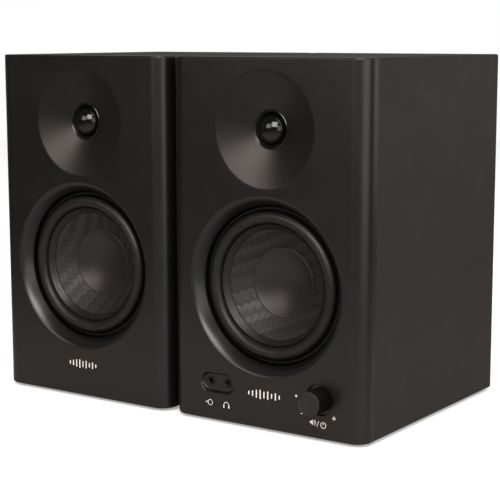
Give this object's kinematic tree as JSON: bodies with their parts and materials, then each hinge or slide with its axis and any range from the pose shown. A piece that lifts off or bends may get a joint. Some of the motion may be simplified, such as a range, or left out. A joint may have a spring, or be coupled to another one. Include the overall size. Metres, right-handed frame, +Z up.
{
  "type": "desktop speakers",
  "caption": "Pair of powered two-way bookshelf speakers: black cabinets, rounded baffles, bowl-mounted tweeters, woven woofers, volume knob and jacks on the active one.",
  "frame": {"origin": "on the table, under the middle of the whole pair's box", "axes": "+X to the viewer's right across the pair, -Y towards the listener, +Z up"},
  "size_m": [0.286, 0.196, 0.228],
  "materials": {
    "cabinet_wrap": "black grained vinyl wrap over fibreboard",
    "baffle_paint": "satin black paint over fibreboard",
    "basket_metal": "satin black",
    "surround_rubber": "smooth satin",
    "cone_weave": "coarse glossy black weave",
    "cap_plastic": "smooth satin",
    "coil_copper": "lacquered copper wire",
    "spider_cloth": "varnished cloth",
    "motor_steel": "zinc plated",
    "magnet_ferrite": "dull",
    "tweeter_plastic": "gloss black",
    "dome_silk": "high gloss black coating",
    "port_plastic": "fine texture",
    "foot_rubber": "soft black",
    "screw_steel": "black zinc",
    "wire_red": "satin",
    "plate_metal": "black powder coat",
    "board_green": "solder mask",
    "socket_plastic": "satin",
    "jack_nickel": "nickel plated",
    "pot_metal": "plain",
    "shaft_metal": "plain",
    "white_plastic": "plain white, also for the printed marks",
    "knob_plastic": "satin",
    "lever_red": "satin",
    "lever_black": "satin",
    "light_lens": "clear diffusing"
  },
  "bodies": {
    "right_speaker": {"right_cabinet": "cabinet_wrap", "right_baffle": "baffle_paint", "right_port_tube": "port_plastic", "right_feet": "foot_rubber", "right_driver_screws": "screw_steel", "right_wiring": "wire_red", "right_woofer_basket": "basket_metal", "right_woofer_surround": "surround_rubber", "right_woofer_spider": "spider_cloth", "right_woofer_top_plate": "motor_steel", "right_woofer_magnet": "magnet_ferrite", "right_woofer_yoke": "motor_steel", "right_tweeter_housing": "tweeter_plastic", "right_tweeter_motor": "motor_steel", "amp_plate": "plate_metal", "amp_plate_screws": "screw_steel", "amp_board": "board_green", "power_supply_board": "board_green", "mains_inlet": "socket_plastic", "line_jacks": "jack_nickel", "balanced_jacks": "socket_plastic", "trim_pots": "pot_metal", "output_terminal": "socket_plastic", "control_board": "board_green", "front_jacks": "socket_plastic", "encoder_body": "pot_metal", "light_pipe": "light_lens"},
    "right_cone": {"right_woofer_cone": "cone_weave", "right_woofer_dust_cap": "cap_plastic", "right_woofer_voice_coil": "coil_copper"},
    "right_dome": {"right_tweeter_dome": "dome_silk"},
    "volume_push": {"encoder_plunger": "white_plastic"},
    "volume_dial": {"encoder_shaft": "shaft_metal", "volume_knob": "knob_plastic"},
    "treble_control": {"treble_knob": "knob_plastic"},
    "bass_control": {"bass_knob": "knob_plastic"},
    "output_clip_red": {"output_lever_red": "lever_red"},
    "output_clip_black": {"output_lever_black": "lever_black"},
    "left_speaker": {"left_cabinet": "cabinet_wrap", "left_baffle": "baffle_paint", "left_port_tube": "port_plastic", "left_feet": "foot_rubber", "left_driver_screws": "screw_steel", "left_wiring": "wire_red", "left_woofer_basket": "basket_metal", "left_woofer_surround": "surround_rubber", "left_woofer_spider": "spider_cloth", "left_woofer_top_plate": "motor_steel", "left_woofer_magnet": "magnet_ferrite", "left_woofer_yoke": "motor_steel", "left_tweeter_housing": "tweeter_plastic", "left_tweeter_motor": "motor_steel", "terminal_cup": "socket_plastic", "crossover_board": "board_green"},
    "left_cone": {"left_woofer_cone": "cone_weave", "left_woofer_dust_cap": "cap_plastic", "left_woofer_voice_coil": "coil_copper"},
    "left_dome": {"left_tweeter_dome": "dome_silk"},
    "input_clip_red": {"input_lever_red": "lever_red"},
    "input_clip_black": {"input_lever_black": "lever_black"}
  },
  "joints": [
    {"name": "pair_spacing", "type": "slide", "parent": "right_speaker", "child": "left_speaker", "axis": [-1, 0, 0], "range_m": [0, 0.4]},
    {"name": "right_cone_travel", "type": "slide", "parent": "right_speaker", "child": "right_cone", "axis": [0, -1, 0], "range_m": [-0.003, 0.003], "stiffness_N_per_m": 1200, "deforming": ["right_woofer_surround", "right_woofer_spider"]},
    {"name": "right_dome_travel", "type": "slide", "parent": "right_speaker", "child": "right_dome", "axis": [0, -1, 0], "range_m": [-0.0003, 0.0003], "stiffness_N_per_m": 40},
    {"name": "volume_press", "type": "slide", "parent": "right_speaker", "child": "volume_push", "axis": [0, 1, 0], "range_m": [0, 0.0006], "stiffness_N_per_m": 800},
    {"name": "volume_turn", "type": "hinge", "parent": "volume_push", "child": "volume_dial", "pos_m": [0.1127, -0.0855, 0.026], "axis": [0, 1, 0], "continuous": true},
    {"name": "treble_turn", "type": "hinge", "parent": "right_speaker", "child": "treble_control", "pos_m": [0.043, 0.0925, 0.102], "axis": [0, -1, 0], "range_deg": [-150, 150]},
    {"name": "bass_turn", "type": "hinge", "parent": "right_speaker", "child": "bass_control", "pos_m": [0.075, 0.0925, 0.102], "axis": [0, -1, 0], "range_deg": [-150, 150]},
    {"name": "output_clip_red_press", "type": "hinge", "parent": "right_speaker", "child": "output_clip_red", "pos_m": [0.0575, 0.09, 0.064], "axis": [-1, 0, 0], "range_deg": [0, 20], "stiffness_Nm_per_rad": 0.004},
    {"name": "output_clip_black_press", "type": "hinge", "parent": "right_speaker", "child": "output_clip_black", "pos_m": [0.0405, 0.09, 0.064], "axis": [-1, 0, 0], "range_deg": [0, 20], "stiffness_Nm_per_rad": 0.004},
    {"name": "left_cone_travel", "type": "slide", "parent": "left_speaker", "child": "left_cone", "axis": [0, -1, 0], "range_m": [-0.003, 0.003], "stiffness_N_per_m": 1200, "deforming": ["left_woofer_surround", "left_woofer_spider"]},
    {"name": "left_dome_travel", "type": "slide", "parent": "left_speaker", "child": "left_dome", "axis": [0, -1, 0], "range_m": [-0.0003, 0.0003], "stiffness_N_per_m": 40},
    {"name": "input_clip_red_press", "type": "hinge", "parent": "left_speaker", "child": "input_clip_red", "pos_m": [-0.0645, 0.0905, 0.078], "axis": [-1, 0, 0], "range_deg": [0, 20], "stiffness_Nm_per_rad": 0.004},
    {"name": "input_clip_black_press", "type": "hinge", "parent": "left_speaker", "child": "input_clip_black", "pos_m": [-0.0815, 0.0905, 0.078], "axis": [-1, 0, 0], "range_deg": [0, 20], "stiffness_Nm_per_rad": 0.004}
  ]
}
